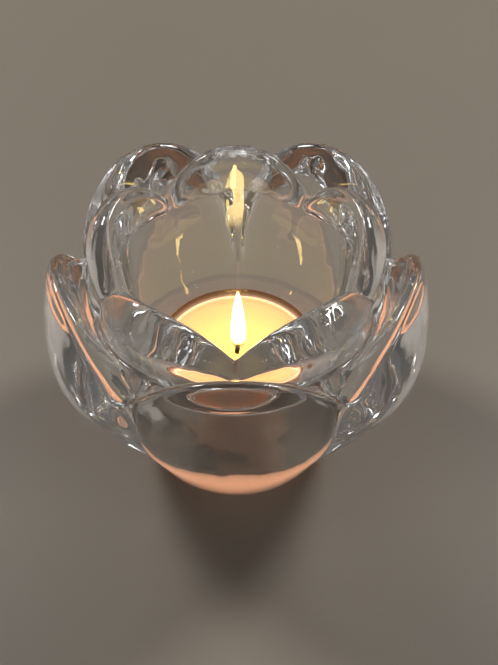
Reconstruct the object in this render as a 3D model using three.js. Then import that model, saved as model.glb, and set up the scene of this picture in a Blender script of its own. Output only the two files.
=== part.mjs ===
// Votive candle holder: a pressed glass lotus with a tealight standing in its bowl.
// Millimetres, +Z up. The origin is on the axis in the plane of the foot, and one outer petal faces -Y.
import * as THREE from 'three';

// Lotus
const PETALS = 5;                   // outer petals; as many inner petals stand in the gaps between them
const FOOT_RADIUS = 23.2;
const FOOT_EDGE = 1.6;              // height of the foot's rounded edge
const FOOT_ROUND = 4;               // how far in from the side that edge starts on the underside
const NECK_HEIGHT = 6;              // where the outer petals part from each other
const NECK_SWELL = 4;                // how far they stand out beyond the foot there
const BELLY_RADIUS = 45.3;          // outer petals at their widest
const BELLY_HEIGHT = 41;
const OUTER_TIP_HEIGHT = 66.4;
const OUTER_TIP_RADIUS = 41.1;      // crest of the rim at the tip of an outer petal
const OUTER_RIM = 5.6;              // thickness of that rim
const OUTER_NOTCH_DROP = 19.3;      // from the outer tips down to the notches between them
const OUTER_NOTCH_RADIUS = 37.5;
const OUTER_NOTCH_RIM = 3;
const POCKET_RISE = 4;              // groove behind an outer petal, above the outer notches
const LEDGE_RISE = 7;               // the same groove behind an outer notch
const POCKET_WIDTH = 5;
const POCKET_ROUND = 1;             // how far the groove's bottom rises to its inner side
const INNER_TIP_HEIGHT = 68.9;
const INNER_NOTCH_DROP = 11.2;
const INNER_WALL = 3.9;             // wall of the bowl between two inner petals
const INNER_SWELL = 3;              // how much thicker an inner petal is in its middle
const INNER_CREST = 1.4;            // how far the crest of that wall lies outside the bowl
const INNER_RIDGE = 0.8;            // how far the bowl's wall stands in between two inner petals
const BOWL_HEIGHT = 50;             // where the bowl's slanting wall turns upright
const FLOOR = 15.7;                 // glass under the tealight
const SEAT_MARGIN = 1.3;            // from the cup's base to the bowl's wall at its floor
const SEAT_ROUND = 1.3;             // how far in from the wall the flat floor starts

// Tealight
const CUP_RADIUS = 19.3;            // at the rim
const CUP_BASE_RADIUS = 18.5;       // where the wall meets the base's rounded edge
const CUP_BASE_EDGE = 1.5;          // radius of that edge
const CUP_HEIGHT = 15;
const CUP_WALL = 0.5;
const CUP_BEAD = 0.45;              // half the thickness of the rounded rim
const BOWL_CLEARANCE = 7.9;         // between the cup's rim and the bowl's rim
const WAX_CLEARANCE = 0.3;
const WAX_DROP = 2;                 // wax surface below the cup's rim
const WAX_MENISCUS = 0.5;           // how far the wax climbs at the cup
const SUSTAINER_RADIUS = 6.5;
const SUSTAINER_SHEET = 0.4;
const SUSTAINER_NECK = 3.6;         // height of the neck above the disc
const WICK_RADIUS = 0.65;
const WICK_CLEARANCE = 0.3;
const WICK_REACH = 4;               // above the wax
const WICK_LEAN = 0.6;              // how far the burnt end curls sideways

// Smoothness
const STEPS_PER_PETAL = 20;
const ROUND_STEPS = 50;
const WICK_SIDES = 10;
const EDGE_STEPS = 3;               // steps round a small rounded edge

// How sharply a petal falls off from its middle (0) to its side (1)
const OUTER_HEIGHT_POWER = 2.2;
const OUTER_RADIUS_POWER = 5;
const OUTER_LOW_POWER = 2;          // the same below the belly
const INNER_HEIGHT_POWER = 2.4;
const INNER_RADIUS_POWER = 2;

const SEAT_RADIUS = CUP_BASE_RADIUS + SEAT_MARGIN;
const BOWL_RIM_RADIUS = CUP_RADIUS + BOWL_CLEARANCE;
const INNER_FACE = BOWL_RIM_RADIUS + INNER_WALL;         // outside of the bowl's wall, in the groove
const POCKET_FACE = INNER_FACE + POCKET_WIDTH;           // inside of the outer petals, in the groove
const POCKET_RADIUS = (INNER_FACE + POCKET_FACE) / 2;
const OUTER_NOTCH_HEIGHT = OUTER_TIP_HEIGHT - OUTER_NOTCH_DROP;
const INNER_NOTCH_HEIGHT = INNER_TIP_HEIGHT - INNER_NOTCH_DROP;
const POCKET_HEIGHT = OUTER_NOTCH_HEIGHT + POCKET_RISE;
const LEDGE_HEIGHT = OUTER_NOTCH_HEIGHT + LEDGE_RISE;
const CUP_FLOOR = FLOOR + CUP_WALL;
const WAX_TOP = FLOOR + CUP_HEIGHT - WAX_DROP;

const mix = (from, to, share) => from + (to - from) * share;

// A point of a curve from one place to another, by its share of the way out and of the way up.
const along = (from, to, out, up) => [mix(from[0], to[0], out), mix(from[1], to[1], up)];

// A rounded lip of three points; the outside of its wall lies a share of the thickness beyond the crest.
function lip(radius, height, thickness, share, fall) {
  return [
    [radius + thickness * share, height - fall],
    [radius, height],
    [radius - thickness / 2, height - fall * 0.4],
  ];
}

// Outer wall from the neck over the rim to the groove, through the middle of an outer petal.
function outerPetalSection() {
  const neck = [FOOT_RADIUS + NECK_SWELL, NECK_HEIGHT];
  const belly = [BELLY_RADIUS, BELLY_HEIGHT];
  const rim = lip(OUTER_TIP_RADIUS, OUTER_TIP_HEIGHT, OUTER_RIM, 0.15, OUTER_RIM * 0.9);
  const groove = [POCKET_RADIUS, POCKET_HEIGHT];
  return [
    neck,
    along(neck, belly, 0.28, 0.22),
    along(neck, belly, 0.63, 0.51),
    along(neck, belly, 0.92, 0.78),
    belly,
    along(belly, rim[0], 0.25, 0.5),
    ...rim,
    along(groove, rim[2], 0.72, 0.71),
    [POCKET_FACE, mix(POCKET_HEIGHT, rim[2][1], 0.36)],
    [mix(POCKET_RADIUS, POCKET_FACE, 0.7), mix(POCKET_HEIGHT, rim[2][1], 0.1)],
    groove,
  ];
}

// The same wall through the crease between two outer petals.
function outerCreaseSection() {
  const neck = [FOOT_RADIUS + NECK_SWELL * 0.35, NECK_HEIGHT];
  const rim = lip(OUTER_NOTCH_RADIUS, OUTER_NOTCH_HEIGHT, OUTER_NOTCH_RIM, 0.5, OUTER_NOTCH_RIM * 0.5);
  const groove = [POCKET_RADIUS, LEDGE_HEIGHT];
  return [
    neck,
    along(neck, rim[0], 0.22, 0.15),
    along(neck, rim[0], 0.5, 0.35),
    along(neck, rim[0], 0.69, 0.58),
    along(neck, rim[0], 0.82, 0.81),
    along(neck, rim[0], 0.93, 0.97),
    ...rim,
    along(groove, rim[2], 0.85, 0.66),
    along(groove, rim[2], 0.65, 0.36),
    along(groove, rim[2], 0.4, 0.12),
    groove,
  ];
}

// Bowl's slanting wall: a guide point by its share of the way up from the floor.
function bowlWall(share, ridge = 0) {
  return [mix(SEAT_RADIUS, BOWL_RIM_RADIUS, share) - ridge, mix(FLOOR, BOWL_HEIGHT, share)];
}

// Bowl's wall from the groove over its rim and down its inside. A ridge stands in between two inner petals.
function innerSection(grooveHeight, tipHeight, swell, ridge) {
  const face = INNER_FACE + swell;
  const rise = (share) => mix(grooveHeight, tipHeight, share);
  return [
    [mix(face, POCKET_RADIUS, 0.3), grooveHeight + POCKET_ROUND],
    [face, rise(0.3)],
    [face + swell * 0.2, rise(0.56)],
    [mix(face, BOWL_RIM_RADIUS, 0.12), rise(0.8)],
    [mix(face, BOWL_RIM_RADIUS, 0.5), rise(0.955)],
    [BOWL_RIM_RADIUS + INNER_CREST, tipHeight],
    [BOWL_RIM_RADIUS - ridge, tipHeight - INNER_CREST],
    [BOWL_RIM_RADIUS - ridge, mix(BOWL_HEIGHT, tipHeight, 0.4)],
    bowlWall(0.86, ridge),
    bowlWall(0.62, ridge),
    bowlWall(0.38, ridge / 2),
  ];
}

// One half of the glass cut along the axis, at a place between an outer petal's middle (0) and its side (1).
function glassSection(side) {
  const petal = outerPetalSection();
  const crease = outerCreaseSection();
  const outer = petal.map(([radius, height], i) => [
    mix(radius, crease[i][0], side ** (height < BELLY_HEIGHT ? OUTER_LOW_POWER : OUTER_RADIUS_POWER)),
    mix(height, crease[i][1], side ** OUTER_HEIGHT_POWER),
  ]);
  const tip = innerSection(LEDGE_HEIGHT, INNER_TIP_HEIGHT, INNER_SWELL, 0);
  const notch = innerSection(POCKET_HEIGHT, INNER_NOTCH_HEIGHT, 0, INNER_RIDGE);
  const inner = tip.map(([radius, height], i) => [
    mix(radius, notch[i][0], (1 - side) ** INNER_RADIUS_POWER),
    mix(height, notch[i][1], (1 - side) ** INNER_HEIGHT_POWER),
  ]);
  const foot = [
    [FOOT_RADIUS - FOOT_ROUND, 0],
    [FOOT_RADIUS, 0],
    [FOOT_RADIUS + NECK_SWELL * 0.2, FOOT_EDGE],
  ];
  const bowl = [
    bowlWall(0.18),
    bowlWall(0.05),
    [SEAT_RADIUS - SEAT_ROUND * 0.3, FLOOR],
    [SEAT_RADIUS - SEAT_ROUND, FLOOR],
  ];
  return smooth([...foot, ...outer, ...inner, ...bowl]);
}

// A cubic B-spline through the guide points, one point for each; its ends touch the first and last guide.
function smooth(guides) {
  return guides.map((guide, i) => {
    if (i === 0 || i === guides.length - 1) return guide;
    return guide.map((value, k) => (guides[i - 1][k] + 4 * value + guides[i + 1][k]) / 6);
  });
}

// The whole lotus: sections turned round the axis and closed by the flat foot and the flat seat.
function lotusGeometry() {
  const steps = PETALS * STEPS_PER_PETAL;
  const positions = [];
  const index = [];
  let count = 0;
  for (let step = 0; step < steps; step++) {
    const within = (step % STEPS_PER_PETAL) / STEPS_PER_PETAL;
    const section = glassSection(2 * Math.min(within, 1 - within));
    const azimuth = (step / steps) * 2 * Math.PI;
    count = section.length;
    for (const [radius, height] of section) {
      positions.push(radius * Math.sin(azimuth), -radius * Math.cos(azimuth), height);
    }
  }
  const footCentre = steps * count;
  const seatCentre = footCentre + 1;
  positions.push(0, 0, 0, 0, 0, FLOOR);
  for (let step = 0; step < steps; step++) {
    const here = step * count;
    const next = ((step + 1) % steps) * count;
    index.push(footCentre, next, here);
    for (let k = 0; k < count - 1; k++) {
      index.push(here + k, next + k, next + k + 1, here + k, next + k + 1, here + k + 1);
    }
    index.push(seatCentre, here + count - 1, next + count - 1);
  }
  const geometry = new THREE.BufferGeometry();
  geometry.setAttribute('position', new THREE.Float32BufferAttribute(positions, 3));
  geometry.setIndex(index);
  geometry.computeVertexNormals();
  return geometry;
}

// A profile of [radius, height] points turned round the upright axis.
function turned(profile, steps = ROUND_STEPS) {
  const points = profile.map(([radius, height]) => new THREE.Vector2(radius, height));
  return new THREE.LatheGeometry(points, steps).rotateX(Math.PI / 2);
}

// Points of a quarter or half turn in the section, between two angles in degrees.
function arc(radius, height, size, from, to, steps = EDGE_STEPS) {
  return Array.from({ length: steps + 1 }, (_, i) => {
    const angle = THREE.MathUtils.degToRad(mix(from, to, i / steps));
    return [radius + size * Math.cos(angle), height + size * Math.sin(angle)];
  });
}

// Inside of the cup's wall at a height above its floor.
function cupInside(height) {
  const share = (height - CUP_BASE_EDGE) / (CUP_HEIGHT - CUP_BASE_EDGE);
  return mix(CUP_BASE_RADIUS, CUP_RADIUS, share) - CUP_WALL;
}

function cupGeometry() {
  const base = CUP_BASE_RADIUS - CUP_BASE_EDGE;
  const beadHeight = FLOOR + CUP_HEIGHT - CUP_BEAD;
  const beadRadius = CUP_RADIUS - CUP_WALL + CUP_BEAD;
  return turned([
    [0, FLOOR],
    ...arc(base, FLOOR + CUP_BASE_EDGE, CUP_BASE_EDGE, -90, 0),
    [CUP_RADIUS, beadHeight - CUP_BEAD],
    ...arc(beadRadius, beadHeight, CUP_BEAD, -30, 180, 2 * EDGE_STEPS),
    ...arc(base, FLOOR + CUP_BASE_EDGE, CUP_BASE_EDGE - CUP_WALL, 0, -90),
    [0, CUP_FLOOR],
  ]);
}

// Wax with a stepped bore for the sustainer and the wick.
function waxGeometry() {
  const bore = WICK_RADIUS + WICK_CLEARANCE;
  const neck = bore + SUSTAINER_SHEET + WICK_CLEARANCE;
  const disc = SUSTAINER_RADIUS + WICK_CLEARANCE;
  const discTop = CUP_FLOOR + SUSTAINER_SHEET + WICK_CLEARANCE;
  const neckTop = discTop + SUSTAINER_NECK;
  const foot = CUP_BASE_RADIUS - CUP_BASE_EDGE - WAX_CLEARANCE;
  const rise = CUP_BASE_EDGE - CUP_WALL;
  const side = cupInside(CUP_HEIGHT - WAX_DROP) - WAX_CLEARANCE;
  return turned([
    [disc, CUP_FLOOR],
    ...arc(foot, CUP_FLOOR + rise, rise, -90, 0),
    [side, WAX_TOP + WAX_MENISCUS],
    [side - WAX_MENISCUS, WAX_TOP + WAX_MENISCUS / 4],
    [side - 4 * WAX_MENISCUS, WAX_TOP],
    [bore, WAX_TOP],
    [bore, neckTop],
    [neck, neckTop],
    [neck, discTop],
    [disc, discTop],
    [disc, CUP_FLOOR],
  ]);
}

function sustainerGeometry() {
  const inside = WICK_RADIUS + WICK_CLEARANCE;
  const outside = inside + SUSTAINER_SHEET;
  const discTop = CUP_FLOOR + SUSTAINER_SHEET;
  return turned([
    [0, CUP_FLOOR],
    [SUSTAINER_RADIUS, CUP_FLOOR],
    [SUSTAINER_RADIUS, discTop],
    [outside, discTop],
    [outside, discTop + SUSTAINER_NECK],
    [inside, discTop + SUSTAINER_NECK],
    [inside, discTop],
    [0, discTop],
  ], 2 * WICK_SIDES);
}

// The wick stands on the sustainer's disc and curls over where it has burnt.
function wickGeometry() {
  const foot = CUP_FLOOR + SUSTAINER_SHEET;
  const path = new THREE.CatmullRomCurve3([
    new THREE.Vector3(0, 0, foot),
    new THREE.Vector3(0, 0, mix(foot, WAX_TOP, 0.5)),
    new THREE.Vector3(0, 0, WAX_TOP),
    new THREE.Vector3(WICK_LEAN * 0.1, 0, WAX_TOP + WICK_REACH * 0.4),
    new THREE.Vector3(WICK_LEAN, 0, WAX_TOP + WICK_REACH),
  ]);
  const section = new THREE.Shape();
  section.absarc(0, 0, WICK_RADIUS, 0, 2 * Math.PI);
  return new THREE.ExtrudeGeometry(section, { extrudePath: path, steps: 16, curveSegments: WICK_SIDES });
}

function piece(name, geometry, color, roughness, metalness) {
  const mesh = new THREE.Mesh(geometry, new THREE.MeshStandardMaterial({ color, roughness, metalness }));
  mesh.name = name;
  return mesh;
}

const tealight = new THREE.Group();
tealight.add(
  piece('tealight_cup', cupGeometry(), 0xefece6, 0.15, 0),
  piece('tealight_wax', waxGeometry(), 0xf5e7c4, 0.45, 0),
  piece('wick_sustainer', sustainerGeometry(), 0xb4b6b8, 0.4, 1),
  piece('wick', wickGeometry(), 0x3b2f26, 0.95, 0),
);

const candleHolder = new THREE.Group();
candleHolder.add(piece('glass_holder', lotusGeometry(), 0xe9eff0, 0.05, 0), tealight);

export default candleHolder;
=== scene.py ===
"""Looks of a votive candle holder: a pressed glass lotus with a lit tealight in its bowl.

Lengths are metres, +Z is up, and one outer petal faces -Y, towards the camera.
"""
import math

import bmesh
import bpy
from bpy.props import FloatProperty, FloatVectorProperty, IntProperty, PointerProperty
from bpy.types import Operator, Panel, PropertyGroup
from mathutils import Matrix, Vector


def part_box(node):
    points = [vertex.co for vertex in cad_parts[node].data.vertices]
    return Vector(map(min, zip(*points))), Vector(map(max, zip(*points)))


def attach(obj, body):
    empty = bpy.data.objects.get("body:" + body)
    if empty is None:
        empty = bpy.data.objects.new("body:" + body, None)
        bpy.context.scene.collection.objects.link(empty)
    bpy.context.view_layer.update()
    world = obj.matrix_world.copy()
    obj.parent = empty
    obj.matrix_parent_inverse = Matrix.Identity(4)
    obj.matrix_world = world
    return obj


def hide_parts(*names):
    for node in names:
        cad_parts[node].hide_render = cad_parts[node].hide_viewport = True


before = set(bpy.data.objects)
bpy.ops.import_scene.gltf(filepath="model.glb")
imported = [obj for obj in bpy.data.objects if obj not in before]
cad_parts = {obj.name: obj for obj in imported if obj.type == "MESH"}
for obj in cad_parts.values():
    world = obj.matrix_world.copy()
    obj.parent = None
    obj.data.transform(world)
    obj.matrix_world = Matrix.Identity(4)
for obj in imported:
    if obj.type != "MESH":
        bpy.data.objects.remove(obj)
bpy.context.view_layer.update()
CUP_LOW, CUP_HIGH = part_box("tealight_cup")
WAX_LOW, WAX_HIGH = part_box("tealight_wax")
WICK_LOW, WICK_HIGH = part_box("wick")
SUSTAINER_LOW, SUSTAINER_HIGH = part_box("wick_sustainer")

bl_info = {
    "name": "Lotus candle holder",
    "version": (1, 0, 0),
    "blender": (4, 5, 0),
    "location": "View3D > Sidebar > Lotus",
    "description": "Models a pressed glass lotus and the lit tealight that stands in it",
    "category": "Add Mesh",
}

MM = 0.001
IMAGE_WIDTH, IMAGE_HEIGHT = 498, 665
SENSOR = 36.0
GLASS_BOUNCES = 24
FLOOR_SIZE = 0.9
FLOOR_GAP = 0.15 * MM
LAMP_AIM = Vector((0.0, 0.0, 0.03))
LAMP_PLACES = {"softbox_left": (-0.74, 0.54, 0.88), "softbox_right": (0.74, 0.54, 0.88)}
ROUND_STEPS = 128
SUSTAINER_STEPS = 64
FLAME_STEPS = 32
ARC_STEPS = 6


def length(name, description, default):
    """A length property in metres."""
    return FloatProperty(
        name=name, description=description, default=default, unit="LENGTH", subtype="DISTANCE", precision=5
    )


def number(name, description, default):
    """A plain number property."""
    return FloatProperty(name=name, description=description, default=default, precision=3)


def tint(name, description, default):
    """A colour property in linear light."""
    return FloatVectorProperty(
        name=name, description=description, default=default, subtype="COLOR", size=3, min=0.0, max=1.0
    )


class LotusSizes(PropertyGroup):
    """Sizes of the glass lotus."""

    petals: IntProperty(name="Petals", description="Outer petals, and as many inner ones", default=5)
    steps: IntProperty(
        name="Steps per petal", description="Faces round one petal before smoothing", default=24
    )
    foot_radius: length("Foot radius", "Radius of the foot", 23.2 * MM)
    foot_edge: length("Foot edge", "Height of the foot's rounded edge", 1.6 * MM)
    foot_round: length("Foot round", "How far in from the side that edge starts", 4.0 * MM)
    neck_height: length("Neck height", "Where the outer petals part from each other", 6.0 * MM)
    neck_swell: length("Neck swell", "How far they stand out beyond the foot there", 4.0 * MM)
    belly_radius: length("Belly radius", "Outer petals at their widest", 45.3 * MM)
    belly_height: length("Belly height", "Height of the widest place", 41.0 * MM)
    outer_tip_height: length("Outer tip height", "Tips of the outer petals", 66.4 * MM)
    outer_tip_radius: length("Outer tip radius", "Crest of the rim at an outer tip", 41.1 * MM)
    outer_rim: length("Outer rim", "Thickness of the rim at an outer tip", 5.6 * MM)
    outer_notch_drop: length("Outer notch drop", "From the outer tips down to their notches", 19.3 * MM)
    outer_notch_radius: length("Outer notch radius", "Middle of the rim in an outer notch", 37.5 * MM)
    outer_notch_rim: length("Outer notch rim", "Thickness of the rim in an outer notch", 3.0 * MM)
    pocket_rise: length("Groove rise", "Groove behind an outer petal, above the outer notches", 4.0 * MM)
    ledge_rise: length("Ledge rise", "The same groove behind an outer notch", 7.0 * MM)
    pocket_width: length("Groove width", "Width of that groove", 5.0 * MM)
    pocket_round: length("Groove round", "How far its bottom rises to the inner side", 1.0 * MM)
    inner_tip_height: length("Inner tip height", "Tips of the inner petals", 68.9 * MM)
    inner_notch_drop: length("Inner notch drop", "From the inner tips down to their notches", 11.2 * MM)
    inner_wall: length("Inner wall", "Wall of the bowl between two inner petals", 3.9 * MM)
    inner_swell: length("Inner swell", "How much thicker an inner petal is in its middle", 3.0 * MM)
    inner_crest: length("Inner crest", "How far an inner petal's crest lies outside the bowl", 1.4 * MM)
    inner_ridge: length("Inner ridge", "How far the wall stands in between two inner petals", 0.8 * MM)
    bowl_rim: length("Bowl rim", "Radius of the bowl at its rim", 27.2 * MM)
    bowl_height: length("Bowl height", "Where the bowl's wall turns upright", 50.0 * MM)
    floor_height: length("Floor height", "Glass under the tealight", CUP_LOW.z)
    seat_radius: length("Seat radius", "Where the bowl's wall meets its floor", 19.8 * MM)
    seat_round: length("Seat round", "How far in from the wall the flat floor starts", 1.3 * MM)
    outer_height_power: number("Outer height power", "How sharply an outer petal's rim falls", 2.2)
    outer_radius_power: number("Outer radius power", "How sharply an outer petal draws in", 5.0)
    outer_low_power: number("Outer low power", "The same below the belly", 2.0)
    inner_height_power: number("Inner height power", "How sharply an inner petal's rim falls", 2.4)
    inner_radius_power: number("Inner radius power", "How sharply an inner petal draws in", 2.0)
    rim_shoulder: number("Rim shoulder", "From an outer rim's crest out to its side, by its thickness", 0.21)
    glass: tint("Glass", "Colour of the glass", (0.98, 0.99, 0.985))


class TealightSizes(PropertyGroup):
    """Sizes and colours of the tealight."""

    cup_wall: length("Cup wall", "Wall of the cup", 0.5 * MM)
    cup_bead: length("Cup bead", "Half the thickness of the cup's rim", 0.45 * MM)
    cup_base_edge: length("Cup base edge", "Radius of the cup's lower edge", 1.5 * MM)
    cup_taper: length("Cup taper", "How far the cup draws in from its rim to its base", 0.8 * MM)
    wax_meniscus: length("Wax meniscus", "How far the wax climbs at the cup", 0.5 * MM)
    wax_base_edge: length("Wax base edge", "Radius of the wax's lower edge", 1.2 * MM)
    wax_foot: length("Wax foot", "How far in from the wax's side its flat foot ends", 1.6 * MM)
    wick_gap: length("Wick gap", "Room round the wick in the wax", 0.05 * MM)
    wick_radius: length("Wick radius", "Radius of the wick", 0.65 * MM)
    wick_strands: IntProperty(name="Wick strands", description="Strands in the wick's braid", default=3)
    sheet: length("Sustainer sheet", "Thickness of the sustainer's steel", 0.4 * MM)
    neck_gap: length("Neck gap", "Room round the wick in the sustainer's neck", 0.3 * MM)
    neck_fillet: length("Neck fillet", "Radius where the neck leaves the disc", 0.6 * MM)
    cup: tint("Cup", "Colour of the cup against the wax", (0.96, 0.87, 0.80))
    # Painted glow: the cup's wall above the wax is tinted peach-brown to stand for the wax's light reflected
    # in it.
    cup_rim_glow: tint("Cup rim", "Colour of the cup above the wax", (0.50, 0.29, 0.19))
    wax: tint("Wax", "Colour of the wax", (0.87, 0.75, 0.41))
    # Painted glow: the wax's emission stands for the flame's light scattered in the wax; the wax itself is no
    # lamp.
    wax_glow: number("Wax glow", "Brightness of the wax's glow", 1.5)
    wax_pale_glow: tint("Wax by the flame", "Glow of the wax round the wick", (0.50, 0.44, 0.09))
    wax_warm_glow: tint("Wax at the edge", "Glow of the wax at its edge", (0.45, 0.20, 0.09))
    wax_side_glow: tint("Wax side", "Glow of the wax's side", (0.98, 0.51, 0.33))
    cotton: tint("Cotton", "Waxed foot of the wick", (0.62, 0.50, 0.34))
    char: tint("Char", "Burnt end of the wick", (0.012, 0.009, 0.008))
    ember: tint("Ember", "Glow at the wick's end", (1.0, 0.22, 0.03))
    steel_dark: tint("Steel, dark", "Drawing marks of the sustainer", (0.50, 0.50, 0.50))
    steel_light: tint("Steel, light", "Steel between those marks", (0.72, 0.72, 0.71))
    film: tint("Wax film", "Wax under the sustainer's disc", (0.62, 0.45, 0.32))


class FlameLook(PropertyGroup):
    """Size and brightness of the flame."""

    height: length("Flame height", "From the flame's root to its tip", 20.2 * MM)
    radius: length("Flame radius", "Flame at its widest", 1.9 * MM)
    overlap: length("Flame overlap", "How far the flame's root lies below the wick's end", 3.2 * MM)
    strength: number("Flame strength", "Brightness of the flame", 19.0)
    core: tint("Flame core", "Middle of the flame", (1.0, 0.72, 0.24))
    tip: tint("Flame tip", "Tip and edge of the flame", (1.0, 0.52, 0.12))


class StageLook(PropertyGroup):
    """Camera, floor and light."""

    focal: number("Focal length", "Focal length in pixels of the photograph's frame", 1050.0)
    elevation: number("Elevation", "How far the camera looks down, in degrees", 48.08)
    distance: length("Distance", "From the camera to the point that it looks at", 253.65 * MM)
    aim_height: length("Aim height", "Height of that point on the axis", 35.43 * MM)
    axis_pixel: number("Axis pixel", "Column of the lotus's axis in the frame", 237.03)
    floor: tint("Floor", "Colour of the floor", (0.29, 0.245, 0.195))
    horizon: tint("Horizon", "Light of the room at the horizon", (0.095, 0.086, 0.077))
    wall: tint("Room low", "Light of the room half way up", (0.065, 0.059, 0.053))
    ceiling: tint("Room high", "Light of the room overhead", (0.15, 0.15, 0.155))
    lamp_size: length("Lamp size", "Width of a soft lamp", 0.29)
    lamp_power: number("Lamp power", "Power of a soft lamp in watts", 6.9)


def between(start, end, amount):
    """A number part of the way from one to another."""
    return start + (end - start) * amount


def along(start, end, out, up):
    """A section point by its share of the way out and of the way up."""
    return (between(start[0], end[0], out), between(start[1], end[1], up))


def lip(radius, height, thickness, shoulder, fall):
    """Three guide points over a wall's rim: its shoulder outside, its crest, and its inside."""
    return [
        (radius + thickness * shoulder, height - fall),
        (radius, height),
        (radius - thickness / 2, height - fall * 0.4),
    ]


class LotusSection:
    """Guide points of the glass, cut along the axis at any place round a petal."""

    def __init__(self, s):
        self.s = s
        self.notch_height = s.outer_tip_height - s.outer_notch_drop
        self.groove_low = self.notch_height + s.pocket_rise
        self.groove_high = self.notch_height + s.ledge_rise
        self.inner_face = s.bowl_rim + s.inner_wall
        self.outer_face = self.inner_face + s.pocket_width
        self.groove_radius = (self.inner_face + self.outer_face) / 2
        inner_notch = s.inner_tip_height - s.inner_notch_drop
        self.petal = self.outer_petal()
        self.powers = [
            s.outer_low_power if height < s.belly_height else s.outer_radius_power
            for radius, height in self.petal
        ]
        self.crease = self.outer_crease()
        self.tip = self.inner(self.groove_high, s.inner_tip_height, s.inner_swell, 0.0)
        self.notch = self.inner(self.groove_low, inner_notch, 0.0, s.inner_ridge)

    def outer_petal(self):
        """Outer wall through the middle of an outer petal."""
        s = self.s
        neck = (s.foot_radius + s.neck_swell, s.neck_height)
        belly = (s.belly_radius, s.belly_height)
        rim = lip(s.outer_tip_radius, s.outer_tip_height, s.outer_rim, s.rim_shoulder, s.outer_rim * 0.9)
        groove = (self.groove_radius, self.groove_low)
        return [
            neck,
            along(neck, belly, 0.28, 0.22),
            along(neck, belly, 0.63, 0.51),
            along(neck, belly, 0.92, 0.78),
            belly,
            along(belly, rim[0], 0.25, 0.5),
            *rim,
            along(groove, rim[2], 0.72, 0.71),
            (self.outer_face, between(groove[1], rim[2][1], 0.36)),
            (between(groove[0], self.outer_face, 0.7), between(groove[1], rim[2][1], 0.1)),
            groove,
        ]

    def outer_crease(self):
        """The same wall through the crease between two outer petals."""
        s = self.s
        neck = (s.foot_radius + s.neck_swell * 0.35, s.neck_height)
        rim = lip(s.outer_notch_radius, self.notch_height, s.outer_notch_rim, 0.5, s.outer_notch_rim * 0.5)
        groove = (self.groove_radius, self.groove_high)
        rise = [(0.22, 0.15), (0.5, 0.35), (0.69, 0.58), (0.82, 0.81), (0.93, 0.97)]
        drop = [(0.85, 0.66), (0.65, 0.36), (0.4, 0.12)]
        return [
            neck,
            *(along(neck, rim[0], out, up) for out, up in rise),
            *rim,
            *(along(groove, rim[2], out, up) for out, up in drop),
            groove,
        ]

    def inner(self, low, tip, swell, ridge):
        """Bowl's wall from the groove over its rim."""
        s = self.s
        face = self.inner_face + swell
        return [
            (between(face, self.groove_radius, 0.3), low + s.pocket_round),
            (face, between(low, tip, 0.3)),
            (face + swell * 0.2, between(low, tip, 0.56)),
            (between(face, s.bowl_rim, 0.12), between(low, tip, 0.8)),
            (between(face, s.bowl_rim, 0.5), between(low, tip, 0.955)),
            (s.bowl_rim + s.inner_crest, tip),
            (s.bowl_rim - ridge, tip - s.inner_crest),
            (s.bowl_rim - ridge, between(s.bowl_height, tip, 0.4)),
            self.wall(0.86, ridge),
            self.wall(0.62, ridge),
            self.wall(0.38, ridge / 2),
        ]

    def wall(self, up, ridge=0.0):
        """Guide point of the bowl's slanting wall, by its share of the way up from the floor."""
        s = self.s
        radius, height = along((s.seat_radius, s.floor_height), (s.bowl_rim, s.bowl_height), up, up)
        return (radius - ridge, height)

    def guides(self, side):
        """All guide points, from the middle of an outer petal (0) to its side (1)."""
        s = self.s
        outer = [
            (between(m[0], e[0], side ** power), between(m[1], e[1], side ** s.outer_height_power))
            for m, e, power in zip(self.petal, self.crease, self.powers)
        ]
        inner_side = 1 - side
        inner = [
            (
                between(m[0], e[0], inner_side ** s.inner_radius_power),
                between(m[1], e[1], inner_side ** s.inner_height_power),
            )
            for m, e in zip(self.tip, self.notch)
        ]
        foot = [
            (s.foot_radius - s.foot_round, 0.0),
            (s.foot_radius, 0.0),
            (s.foot_radius + s.neck_swell * 0.2, s.foot_edge),
        ]
        bowl = [
            self.wall(0.18),
            self.wall(0.05),
            (s.seat_radius - s.seat_round * 0.3, s.floor_height),
            (s.seat_radius - s.seat_round, s.floor_height),
        ]
        return foot + outer + inner + bowl


def turn(profile, steps):
    """A mesh of (radius, height) points turned round the axis; points that lie on the axis close it."""
    mesh = bmesh.new()
    points = [mesh.verts.new((radius, 0.0, height)) for radius, height in profile]
    lines = [mesh.edges.new(pair) for pair in zip(points, points[1:])]
    bmesh.ops.spin(
        mesh, geom=points + lines, cent=(0, 0, 0), axis=(0, 0, 1),
        angle=2 * math.pi, steps=steps, use_merge=True,
    )
    bmesh.ops.remove_doubles(mesh, verts=mesh.verts, dist=1e-7)
    bmesh.ops.recalc_face_normals(mesh, faces=mesh.faces)
    return mesh


def close(mesh):
    """Fills the open ends of a mesh and turns its faces outwards."""
    open_edges = [edge for edge in mesh.edges if edge.is_boundary]
    bmesh.ops.holes_fill(mesh, edges=open_edges, sides=0)
    bmesh.ops.recalc_face_normals(mesh, faces=mesh.faces)


def arc(radius, height, size, start, end, steps):
    """Section points on an arc between two angles in degrees."""
    angles = [math.radians(between(start, end, i / steps)) for i in range(steps + 1)]
    return [(radius + size * math.cos(a), height + size * math.sin(a)) for a in angles]


def add_piece(name, mesh, material, body, node=None, levels=0):
    """Makes an object of a finished bmesh, smooth and subdivided, and ties it to the frame."""
    data = bpy.data.meshes.new(name)
    for face in mesh.faces:
        face.smooth = True
    mesh.to_mesh(data)
    mesh.free()
    data.materials.append(material)
    piece = bpy.data.objects.new(name, data)
    bpy.context.scene.collection.objects.link(piece)
    if levels:
        smoothing = piece.modifiers.new("Smooth", "SUBSURF")
        smoothing.levels = levels
        smoothing.render_levels = levels
    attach(piece, body)
    if node:
        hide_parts(node)
    return piece


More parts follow.
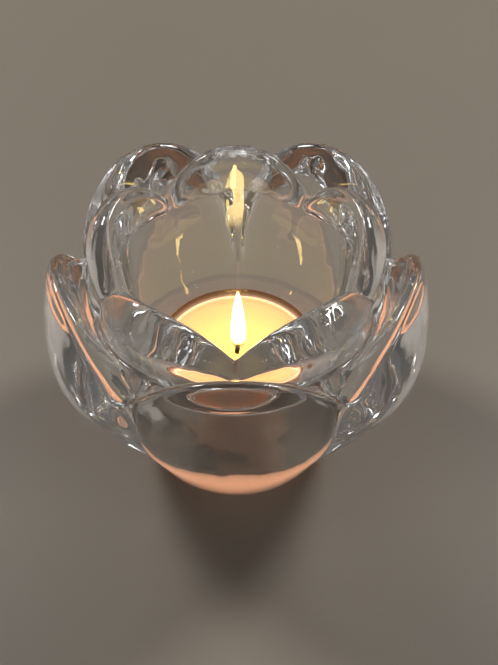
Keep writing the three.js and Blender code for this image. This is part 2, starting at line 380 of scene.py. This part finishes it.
class Value:
    """A shader socket that takes part in Python sums."""

    def __init__(self, shader, socket):
        self.shader = shader
        self.socket = socket

    def combine(self, operation, first, second):
        """Adds the Math node of one sum."""
        return self.shader.add("ShaderNodeMath", {"operation": operation}, {0: first, 1: second})

    def __add__(self, other):
        return self.combine("ADD", self, other)

    def __radd__(self, other):
        return self.combine("ADD", other, self)

    def __sub__(self, other):
        return self.combine("SUBTRACT", self, other)

    def __rsub__(self, other):
        return self.combine("SUBTRACT", other, self)

    def __mul__(self, other):
        return self.combine("MULTIPLY", self, other)

    def __rmul__(self, other):
        return self.combine("MULTIPLY", other, self)

    def __truediv__(self, other):
        return self.combine("DIVIDE", self, other)

    def __rtruediv__(self, other):
        return self.combine("DIVIDE", other, self)

    def __pow__(self, other):
        return self.combine("POWER", self, other)


class Shader:
    """Builds the nodes of one material or world."""

    def __init__(self, owner):
        owner.use_nodes = True
        self.tree = owner.node_tree
        self.tree.nodes.clear()

    def add(self, kind, settings=None, inputs=None, output=0):
        """Adds a node: its settings first, then the values or links of its sockets."""
        node = self.tree.nodes.new(kind)
        for key, setting in (settings or {}).items():
            if key == "stops":
                self.set_stops(node.color_ramp, setting)
            else:
                setattr(node, key, setting)
        for key, entry in (inputs or {}).items():
            if isinstance(entry, Value):
                self.tree.links.new(entry.socket, node.inputs[key])
            else:
                node.inputs[key].default_value = entry
        return Value(self, node.outputs[output]) if node.outputs else None

    @staticmethod
    def set_stops(ramp, stops):
        """Gives a colour ramp its (position, colour) stops."""
        while len(ramp.elements) < len(stops):
            ramp.elements.new(0.5)
        for element, (position, colour) in zip(ramp.elements, stops):
            element.position = position
            element.color = (*colour, 1.0)

    def place(self):
        """Object coordinates of the surface."""
        return self.add("ShaderNodeTexCoord", output="Object")

    def parts(self, vector):
        """X, Y and Z of a vector."""
        first = self.add("ShaderNodeSeparateXYZ", inputs={0: vector})
        return [Value(self, output) for output in first.socket.node.outputs]

    def height(self, vector):
        """Z of a vector."""
        return self.parts(vector)[2]

    def round_axis(self, vector):
        """Distance of a place from the axis, and its Z."""
        x, y, z = self.parts(vector)
        return (x * x + y * y) ** 0.5, z

    def mix(self, amount, first, second):
        """A colour part of the way from one to another."""
        return self.add("ShaderNodeMix", {"data_type": "RGBA"}, {0: amount, 6: first, 7: second}, output=2)

    def ramp(self, amount, stops):
        """A colour by a number from 0 to 1."""
        return self.add("ShaderNodeValToRGB", {"stops": stops}, {0: amount})

    def noise(self, vector, scale, detail=2.0, roughness=0.5):
        """Smooth noise from 0 to 1."""
        inputs = {"Vector": vector, "Scale": scale, "Detail": detail, "Roughness": roughness}
        return self.add("ShaderNodeTexNoise", inputs=inputs)

    def clamp(self, value, low, high):
        """A number mapped from a range onto 0 to 1."""
        return self.add("ShaderNodeMapRange", {"clamp": True}, {0: value, 1: low, 2: high, 3: 0.0, 4: 1.0})

    def bump(self, height, strength, distance):
        """A normal from a height."""
        inputs = {"Strength": strength, "Distance": distance, "Height": height}
        return self.add("ShaderNodeBump", inputs=inputs)

    def surface(self, **sockets):
        """One Principled surface; names use _ for spaces."""
        inputs = {key.replace("_", " "): entry for key, entry in sockets.items()}
        return self.add("ShaderNodeBsdfPrincipled", inputs=inputs)

    def finish(self, surface, kind="ShaderNodeOutputMaterial"):
        """Links the last shader to the output."""
        self.add(kind, inputs={"Surface": surface})


def new_material(name):
    """An empty material and the builder of its nodes."""
    material = bpy.data.materials.new(name)
    return material, Shader(material)


def opaque(colour):
    """A colour with full alpha."""
    return (*colour, 1.0)


def glass_material(look):
    """Clear pressed glass, fire-polished, with the faint waves of the mould."""
    material, shader = new_material("clear_glass")
    place = shader.place()
    x, y, z = shader.parts(place)
    drawn = shader.add("ShaderNodeCombineXYZ", inputs={0: x, 1: y, 2: z * 0.4})
    broad = shader.noise(place, 45.0, 1.0)
    middle = shader.noise(place, 85.0, 1.0)
    fine = shader.noise(drawn, 190.0, 1.0)
    waves = broad + middle * 0.5 + fine * 0.35
    smear = shader.noise(place, 140.0, 3.0)
    shader.finish(shader.surface(
        Base_Color=opaque(look.glass),
        Roughness=smear * 0.012,
        IOR=1.51,
        Transmission_Weight=1.0,
        Normal=shader.bump(waves, 0.3, 0.0016),
    ))
    return material


def cup_material(look, low, wax_top):
    """Clear moulded plastic with a frosted base, slightly scuffed, with a painted peach-brown glow above the
    wax that stands for the wax's light reflected in the cup's wall.
    """
    material, shader = new_material("cup_plastic")
    place = shader.place()
    z = shader.height(place)
    scuffs = shader.noise(place, 900.0, 4.0, 0.7)
    # Mask of the cup's wall above the wax, where the painted peach-brown glow of the wax's light goes.
    bare = shader.clamp(z + scuffs * 0.3 * MM, wax_top, wax_top + 0.8 * MM)
    frost = 1 - shader.clamp(z, low + 0.6 * MM, low + 1.0 * MM)
    shader.finish(shader.surface(
        Base_Color=shader.ramp(bare, [(0.0, look.cup), (1.0, look.cup_rim_glow)]),
        Roughness=scuffs * 0.12 + frost * 0.35 + 0.02,
        IOR=1.46,
        Transmission_Weight=0.85,
        Normal=shader.bump(scuffs, 0.08, 0.0002),
    ))
    return material


def wax_material(look, top, radius):
    """Paraffin with a painted glow for the flame's light scattered in it: pale round the wick, warm at the
    edge, darker lower down the side; a glossy molten top and a dull side.
    """
    material, shader = new_material("wax")
    place = shader.place()
    distance, z = shader.round_axis(place)
    out = distance / radius
    depth = shader.clamp(z, top - 6 * MM, top - 0.3 * MM)
    mottle = shader.noise(place, 420.0, 3.0)
    # Painted glow of the top: the flame's light in the wax, pale round the wick and warmer towards the edge.
    pool = shader.ramp(out + mottle * 0.04, [
        (0.0, look.wax_pale_glow),
        (0.45, [between(a, b, 0.3) for a, b in zip(look.wax_pale_glow, look.wax_warm_glow)]),
        (0.88, [between(a, b, 0.75) for a, b in zip(look.wax_pale_glow, look.wax_warm_glow)]),
        (1.0, look.wax_warm_glow),
    ])
    # Painted glow of the side, with painted shade: darker lower down, away from the flame.
    side = shader.ramp(depth, [(0.0, [c * 0.75 for c in look.wax_side_glow]), (1.0, look.wax_side_glow)])
    above_side = shader.clamp(z, top - 0.9 * MM, top - 0.6 * MM)
    is_top = above_side * (1 - shader.clamp(out, 0.96, 0.99))
    shader.finish(shader.surface(
        Base_Color=opaque(look.wax),
        Roughness=(1 - is_top) * 0.35 + mottle * 0.1 + 0.08,
        Subsurface_Weight=0.25,
        Subsurface_Radius=(0.004, 0.002, 0.001),
        # This emission is painted light that stands for the flame's light in the wax.
        Emission_Color=shader.mix(is_top, side, pool),
        Emission_Strength=look.wax_glow,
        Normal=shader.bump(mottle, 0.06, 0.0003),
    ))
    return material


def wick_material(look, low, high):
    """Braided cotton soaked in wax, charred black towards its glowing end."""
    material, shader = new_material("wick_cotton")
    place = shader.place()
    z = shader.height(place)
    fibres = shader.noise(place, 5200.0, 3.0, 0.7)
    burnt = shader.clamp(z + fibres * 0.8 * MM, low - 1.5 * MM, low + 0.3 * MM)
    ember = shader.clamp(z + fibres * 0.4 * MM, between(low, high, 0.88), high + 0.2 * MM)
    shader.finish(shader.surface(
        Base_Color=shader.mix(burnt, opaque(look.cotton), opaque(look.char)),
        Roughness=0.95,
        Emission_Color=shader.ramp(ember, [(0.0, (0.0, 0.0, 0.0)), (1.0, look.ember)]),
        Emission_Strength=1.5,
        Normal=shader.bump(fibres, 0.5, 0.0002),
    ))
    return material


def sustainer_material(look, low):
    """Tinned steel sheet with fine drawing marks round the axis, and a film of wax under its disc."""
    material, shader = new_material("sustainer_steel")
    distance, z = shader.round_axis(shader.place())
    rings = shader.noise(shader.add("ShaderNodeCombineXYZ", inputs={0: distance, 2: z}), 3000.0, 2.0)
    steel = shader.ramp(rings, [(0.2, look.steel_dark), (0.8, look.steel_light)])
    bare = shader.clamp(z, low + 0.05 * MM, low + 0.15 * MM)
    shader.finish(shader.surface(
        Base_Color=shader.mix(bare, opaque(look.film), steel),
        Metallic=bare,
        Roughness=rings * 0.25 + 0.2,
        Normal=shader.bump(rings, 0.1, 0.0001),
    ))
    return material


def flame_material(look, low, high):
    """A candle flame: dim and blue at its root, yellow in the middle and orange at the tip."""
    material, shader = new_material("flame")
    rise = shader.clamp(shader.height(shader.place()), low, high)
    colour = shader.ramp(rise, [
        (0.0, (0.001, 0.002, 0.006)),
        (0.15, (0.03, 0.016, 0.006)),
        (0.32, look.core),
        (0.75, look.core),
        (1.0, look.tip),
    ])
    shader.finish(shader.surface(
        Base_Color=(0.0, 0.0, 0.0, 1.0),
        Roughness=1.0,
        Specular_IOR_Level=0.0,
        Emission_Color=colour,
        Emission_Strength=look.strength,
        Alpha=shader.clamp(rise, 0.02, 0.3) * 0.9 + 0.05,
    ))
    return material


class LOTUS_OT_glass(Operator):
    """Models the glass lotus"""

    bl_idname = "lotus.glass"
    bl_label = "Glass lotus"

    def execute(self, context):
        sizes = context.scene.lotus_sizes
        section = LotusSection(sizes)
        rings = len(section.guides(0.0))
        steps = sizes.petals * sizes.steps
        mesh = turn([(1.0, float(ring)) for ring in range(rings)], steps)
        by_side = {}
        for vertex in mesh.verts:
            azimuth = math.atan2(vertex.co.x, -vertex.co.y)
            step = round(azimuth / (2 * math.pi) * steps) % sizes.steps
            if step not in by_side:
                within = step / sizes.steps
                by_side[step] = section.guides(2 * min(within, 1 - within))
            radius, height = by_side[step][round(vertex.co.z)]
            vertex.co = (radius * math.sin(azimuth), -radius * math.cos(azimuth), height)
        close(mesh)
        material = glass_material(sizes)
        add_piece("glass_lotus", mesh, material, "holder", "glass_holder", levels=2)
        return {"FINISHED"}


class LOTUS_OT_cup(Operator):
    """Models the tealight's clear cup"""

    bl_idname = "lotus.cup"
    bl_label = "Tealight cup"

    def execute(self, context):
        sizes = context.scene.tealight_sizes
        low, high = CUP_LOW.z, CUP_HIGH.z
        bead, wall, edge = sizes.cup_bead, sizes.cup_wall, sizes.cup_base_edge
        outside = CUP_HIGH.x - 2 * bead + wall
        base = outside - sizes.cup_taper - edge
        profile = [
            (0.0, low),
            *arc(base, low + edge, edge, -90, 0, ARC_STEPS),
            (outside, high - 2 * bead),
            *arc(outside - wall + bead, high - bead, bead, -30, 180, 10),
            *arc(base, low + edge, edge - wall, 0, -90, ARC_STEPS),
            (0.0, low + wall),
        ]
        mesh = turn(profile, ROUND_STEPS)
        material = cup_material(sizes, low, WAX_HIGH.z)
        add_piece("cup_shell", mesh, material, "tealight", "tealight_cup")
        return {"FINISHED"}


class LOTUS_OT_wax(Operator):
    """Models the wax with its molten top"""

    bl_idname = "lotus.wax"
    bl_label = "Wax"

    def execute(self, context):
        sizes = context.scene.tealight_sizes
        low, side = WAX_LOW.z, WAX_HIGH.x
        rise, edge = sizes.wax_meniscus, sizes.wax_base_edge
        top = WAX_HIGH.z - rise
        bore = sizes.wick_radius + sizes.wick_gap
        profile = [
            (bore, low),
            *arc(side - sizes.wax_foot, low + edge, edge, -90, 0, ARC_STEPS),
            (side, top + 0.85 * rise),
            (side - 0.1 * MM, top + rise),
            (side - 0.3 * MM, top + 0.6 * rise),
            (side - 0.9 * MM, top + 0.15 * rise),
            (side - 2.0 * MM, top),
            (side * 0.55, top - 0.15 * MM),
            (3.0 * MM, top - 0.3 * MM),
            (1.4 * MM, top - 0.45 * MM),
            (bore, top - 0.4 * MM),
            (bore, low),
        ]
        mesh = turn(profile, ROUND_STEPS)
        material = wax_material(sizes, top, side)
        add_piece("wax_block", mesh, material, "tealight", "tealight_wax")
        return {"FINISHED"}


class LOTUS_OT_wick(Operator):
    """Models the braided, burnt wick"""

    bl_idname = "lotus.wick"
    bl_label = "Wick"

    def execute(self, context):
        sizes = context.scene.tealight_sizes
        low, high = WICK_LOW.z, WICK_HIGH.z
        wax_top = WAX_HIGH.z - sizes.wax_meniscus
        lean = WICK_HIGH.x - sizes.wick_radius
        levels, sides, turns = 60, 18, 5.0
        mesh = bmesh.new()
        circle = bmesh.ops.create_circle(mesh, segments=sides, radius=sizes.wick_radius, cap_ends=False)
        ring = circle["verts"]
        turn_edges = list({edge for vertex in ring for edge in vertex.link_edges})
        rows = [ring]
        for level in range(levels):
            made = bmesh.ops.extrude_edge_only(mesh, edges=turn_edges)["geom"]
            rows.append([item for item in made if isinstance(item, bmesh.types.BMVert)])
            turn_edges = [item for item in made if isinstance(item, bmesh.types.BMEdge) and item.is_boundary]
        for level, row in enumerate(rows):
            height = between(low, high, level / levels)
            above = max(0.0, (height - wax_top) / (high - wax_top))
            for vertex in row:
                angle = math.atan2(vertex.co.y, vertex.co.x)
                twist = sizes.wick_strands * angle + turns * 2 * math.pi * level / levels
                radius = sizes.wick_radius * (0.84 + 0.16 * math.cos(twist)) * (1 - 0.25 * above)
                vertex.co = (radius * math.cos(angle) + lean * above ** 2, radius * math.sin(angle), height)
        close(mesh)
        material = wick_material(sizes, wax_top, high)
        add_piece("wick_braid", mesh, material, "tealight", "wick")
        return {"FINISHED"}


class LOTUS_OT_sustainer(Operator):
    """Models the wick's steel foot"""

    bl_idname = "lotus.sustainer"
    bl_label = "Wick sustainer"

    def execute(self, context):
        sizes = context.scene.tealight_sizes
        low, high, radius = SUSTAINER_LOW.z, SUSTAINER_HIGH.z, SUSTAINER_HIGH.x
        sheet, fillet = sizes.sheet, sizes.neck_fillet
        inside = sizes.wick_radius + sizes.neck_gap
        neck = inside + sheet
        profile = [
            (0.0, low),
            *arc(radius - sheet / 2, low + sheet / 2, sheet / 2, -90, 90, ARC_STEPS),
            (neck + fillet, low + sheet),
            *arc(neck + fillet, low + sheet + fillet, fillet, -90, -180, 4),
            (neck, between(low, high, 0.62)),
            (neck - sheet / 2, between(low, high, 0.72)),
            (neck, between(low, high, 0.82)),
            *arc(inside + sheet / 2, high - sheet / 2, sheet / 2, 0, 180, ARC_STEPS),
            (inside, low + sheet),
            (0.0, low + sheet),
        ]
        mesh = turn(profile, SUSTAINER_STEPS)
        material = sustainer_material(sizes, low)
        add_piece("wick_foot", mesh, material, "tealight", "wick_sustainer")
        return {"FINISHED"}


class LOTUS_OT_flame(Operator):
    """Models the flame on the wick"""

    bl_idname = "lotus.flame"
    bl_label = "Flame"

    def execute(self, context):
        look = context.scene.flame_look
        low = WICK_HIGH.z - look.overlap
        high = low + look.height
        shape = [
            (0.0, 0.0), (0.5, 0.02), (0.82, 0.09), (1.0, 0.22), (0.96, 0.38),
            (0.78, 0.58), (0.5, 0.78), (0.22, 0.93), (0.0, 1.0),
        ]
        profile = [(out * look.radius, between(low, high, up)) for out, up in shape]
        mesh = turn(profile, FLAME_STEPS)
        lean = WICK_HIGH.x - context.scene.tealight_sizes.wick_radius
        bmesh.ops.translate(mesh, verts=mesh.verts, vec=(lean * 0.5, 0.0, 0.0))
        add_piece("flame", mesh, flame_material(look, low, high), "tealight", levels=2)
        return {"FINISHED"}


class LOTUS_OT_stage(Operator):
    """Sets the floor, the light and the camera"""

    bl_idname = "lotus.stage"
    bl_label = "Stage"

    def execute(self, context):
        look = context.scene.stage_look
        self.add_floor(look)
        self.add_room(look)
        for name, place in LAMP_PLACES.items():
            self.add_softbox(look, name, Vector(place))
        self.add_camera(look)
        self.set_light_paths(context.scene.cycles)
        context.scene.view_settings.view_transform = "Standard"
        return {"FINISHED"}

    def set_light_paths(self, cycles):
        """Lets light bounce inside the solid glass until it finds its way out."""
        cycles.max_bounces = GLASS_BOUNCES
        cycles.glossy_bounces = GLASS_BOUNCES
        cycles.transmission_bounces = GLASS_BOUNCES

    def add_floor(self, look):
        """A plain floor with a soft gloss, a hair below the foot."""
        mesh = bmesh.new()
        bmesh.ops.create_grid(mesh, x_segments=1, y_segments=1, size=FLOOR_SIZE)
        bmesh.ops.translate(mesh, verts=mesh.verts, vec=(0.0, 0.0, -FLOOR_GAP))
        data = bpy.data.meshes.new("floor")
        mesh.to_mesh(data)
        mesh.free()
        material, shader = new_material("pale_floor")
        cloud = shader.noise(shader.place(), 6.0, 2.0)
        pale = shader.ramp(cloud, [(0.3, [c * 0.96 for c in look.floor]), (0.7, look.floor)])
        shader.finish(shader.surface(Base_Color=pale, Roughness=0.42))
        data.materials.append(material)
        floor = bpy.data.objects.new("floor", data)
        bpy.context.scene.collection.objects.link(floor)

    def add_room(self, look):
        """Soft light from all round, dimmest half way up and brightest overhead."""
        world = bpy.data.worlds.new("room")
        bpy.context.scene.world = world
        shader = Shader(world)
        up = shader.height(shader.add("ShaderNodeTexCoord", output="Generated"))
        light = shader.ramp(up, [
            (0.0, look.horizon),
            (0.15, look.horizon),
            (0.4, look.wall),
            (1.0, look.ceiling),
        ])
        background = shader.add("ShaderNodeBackground", inputs={0: light, 1: 1.0})
        shader.finish(background, "ShaderNodeOutputWorld")

    def add_softbox(self, look, name, place):
        """A square soft lamp aimed at the bowl."""
        lamp = bpy.data.lights.new(name, "AREA")
        lamp.size = look.lamp_size
        lamp.energy = look.lamp_power
        item = bpy.data.objects.new(name, lamp)
        item.location = place
        item.rotation_euler = (LAMP_AIM - place).to_track_quat("-Z", "Y").to_euler()
        bpy.context.scene.collection.objects.link(item)

    def add_camera(self, look):
        """The photograph's camera: near, looking down, with the axis a little left of the middle."""
        tilt = math.radians(look.elevation)
        forward = Vector((0.0, math.cos(tilt), -math.sin(tilt)))
        aside = (IMAGE_WIDTH / 2 - look.axis_pixel) * look.distance / look.focal
        camera = bpy.data.cameras.new("camera")
        camera.sensor_fit = "AUTO"
        camera.sensor_width = SENSOR
        camera.lens = look.focal * SENSOR / IMAGE_HEIGHT
        camera.clip_start = 1 * MM
        item = bpy.data.objects.new("camera", camera)
        item.location = Vector((aside, 0.0, look.aim_height)) - forward * look.distance
        item.rotation_euler = forward.to_track_quat("-Z", "Y").to_euler()
        bpy.context.scene.collection.objects.link(item)
        bpy.context.scene.camera = item


class LOTUS_PT_parts(Panel):
    """Lists the pieces and their settings"""

    bl_idname = "LOTUS_PT_parts"
    bl_label = "Lotus candle holder"
    bl_space_type = "VIEW_3D"
    bl_region_type = "UI"
    bl_category = "Lotus"

    def draw(self, context):
        column = self.layout.column()
        for operator in OPERATORS:
            column.operator(operator.bl_idname)
        for group in SETTINGS:
            settings = getattr(context.scene, group)
            for key in settings.bl_rna.properties.keys():
                if key not in {"rna_type", "name"}:
                    column.prop(settings, key)


SETTINGS = {
    "lotus_sizes": LotusSizes,
    "tealight_sizes": TealightSizes,
    "flame_look": FlameLook,
    "stage_look": StageLook,
}
OPERATORS = (
    LOTUS_OT_glass,
    LOTUS_OT_cup,
    LOTUS_OT_wax,
    LOTUS_OT_wick,
    LOTUS_OT_sustainer,
    LOTUS_OT_flame,
    LOTUS_OT_stage,
)
CLASSES = (*SETTINGS.values(), *OPERATORS, LOTUS_PT_parts)


def register():
    """Registers the classes and their settings."""
    for item in CLASSES:
        bpy.utils.register_class(item)
    for name, group in SETTINGS.items():
        setattr(bpy.types.Scene, name, PointerProperty(type=group))


def unregister():
    """Removes the settings and the classes."""
    for name in SETTINGS:
        delattr(bpy.types.Scene, name)
    for item in reversed(CLASSES):
        bpy.utils.unregister_class(item)


def main():
    """Makes every piece and the stage."""
    register()
    bpy.ops.lotus.stage()
    bpy.ops.lotus.glass()
    bpy.ops.lotus.cup()
    bpy.ops.lotus.wax()
    bpy.ops.lotus.wick()
    bpy.ops.lotus.sustainer()
    bpy.ops.lotus.flame()


if __name__ == "__main__":
    main()
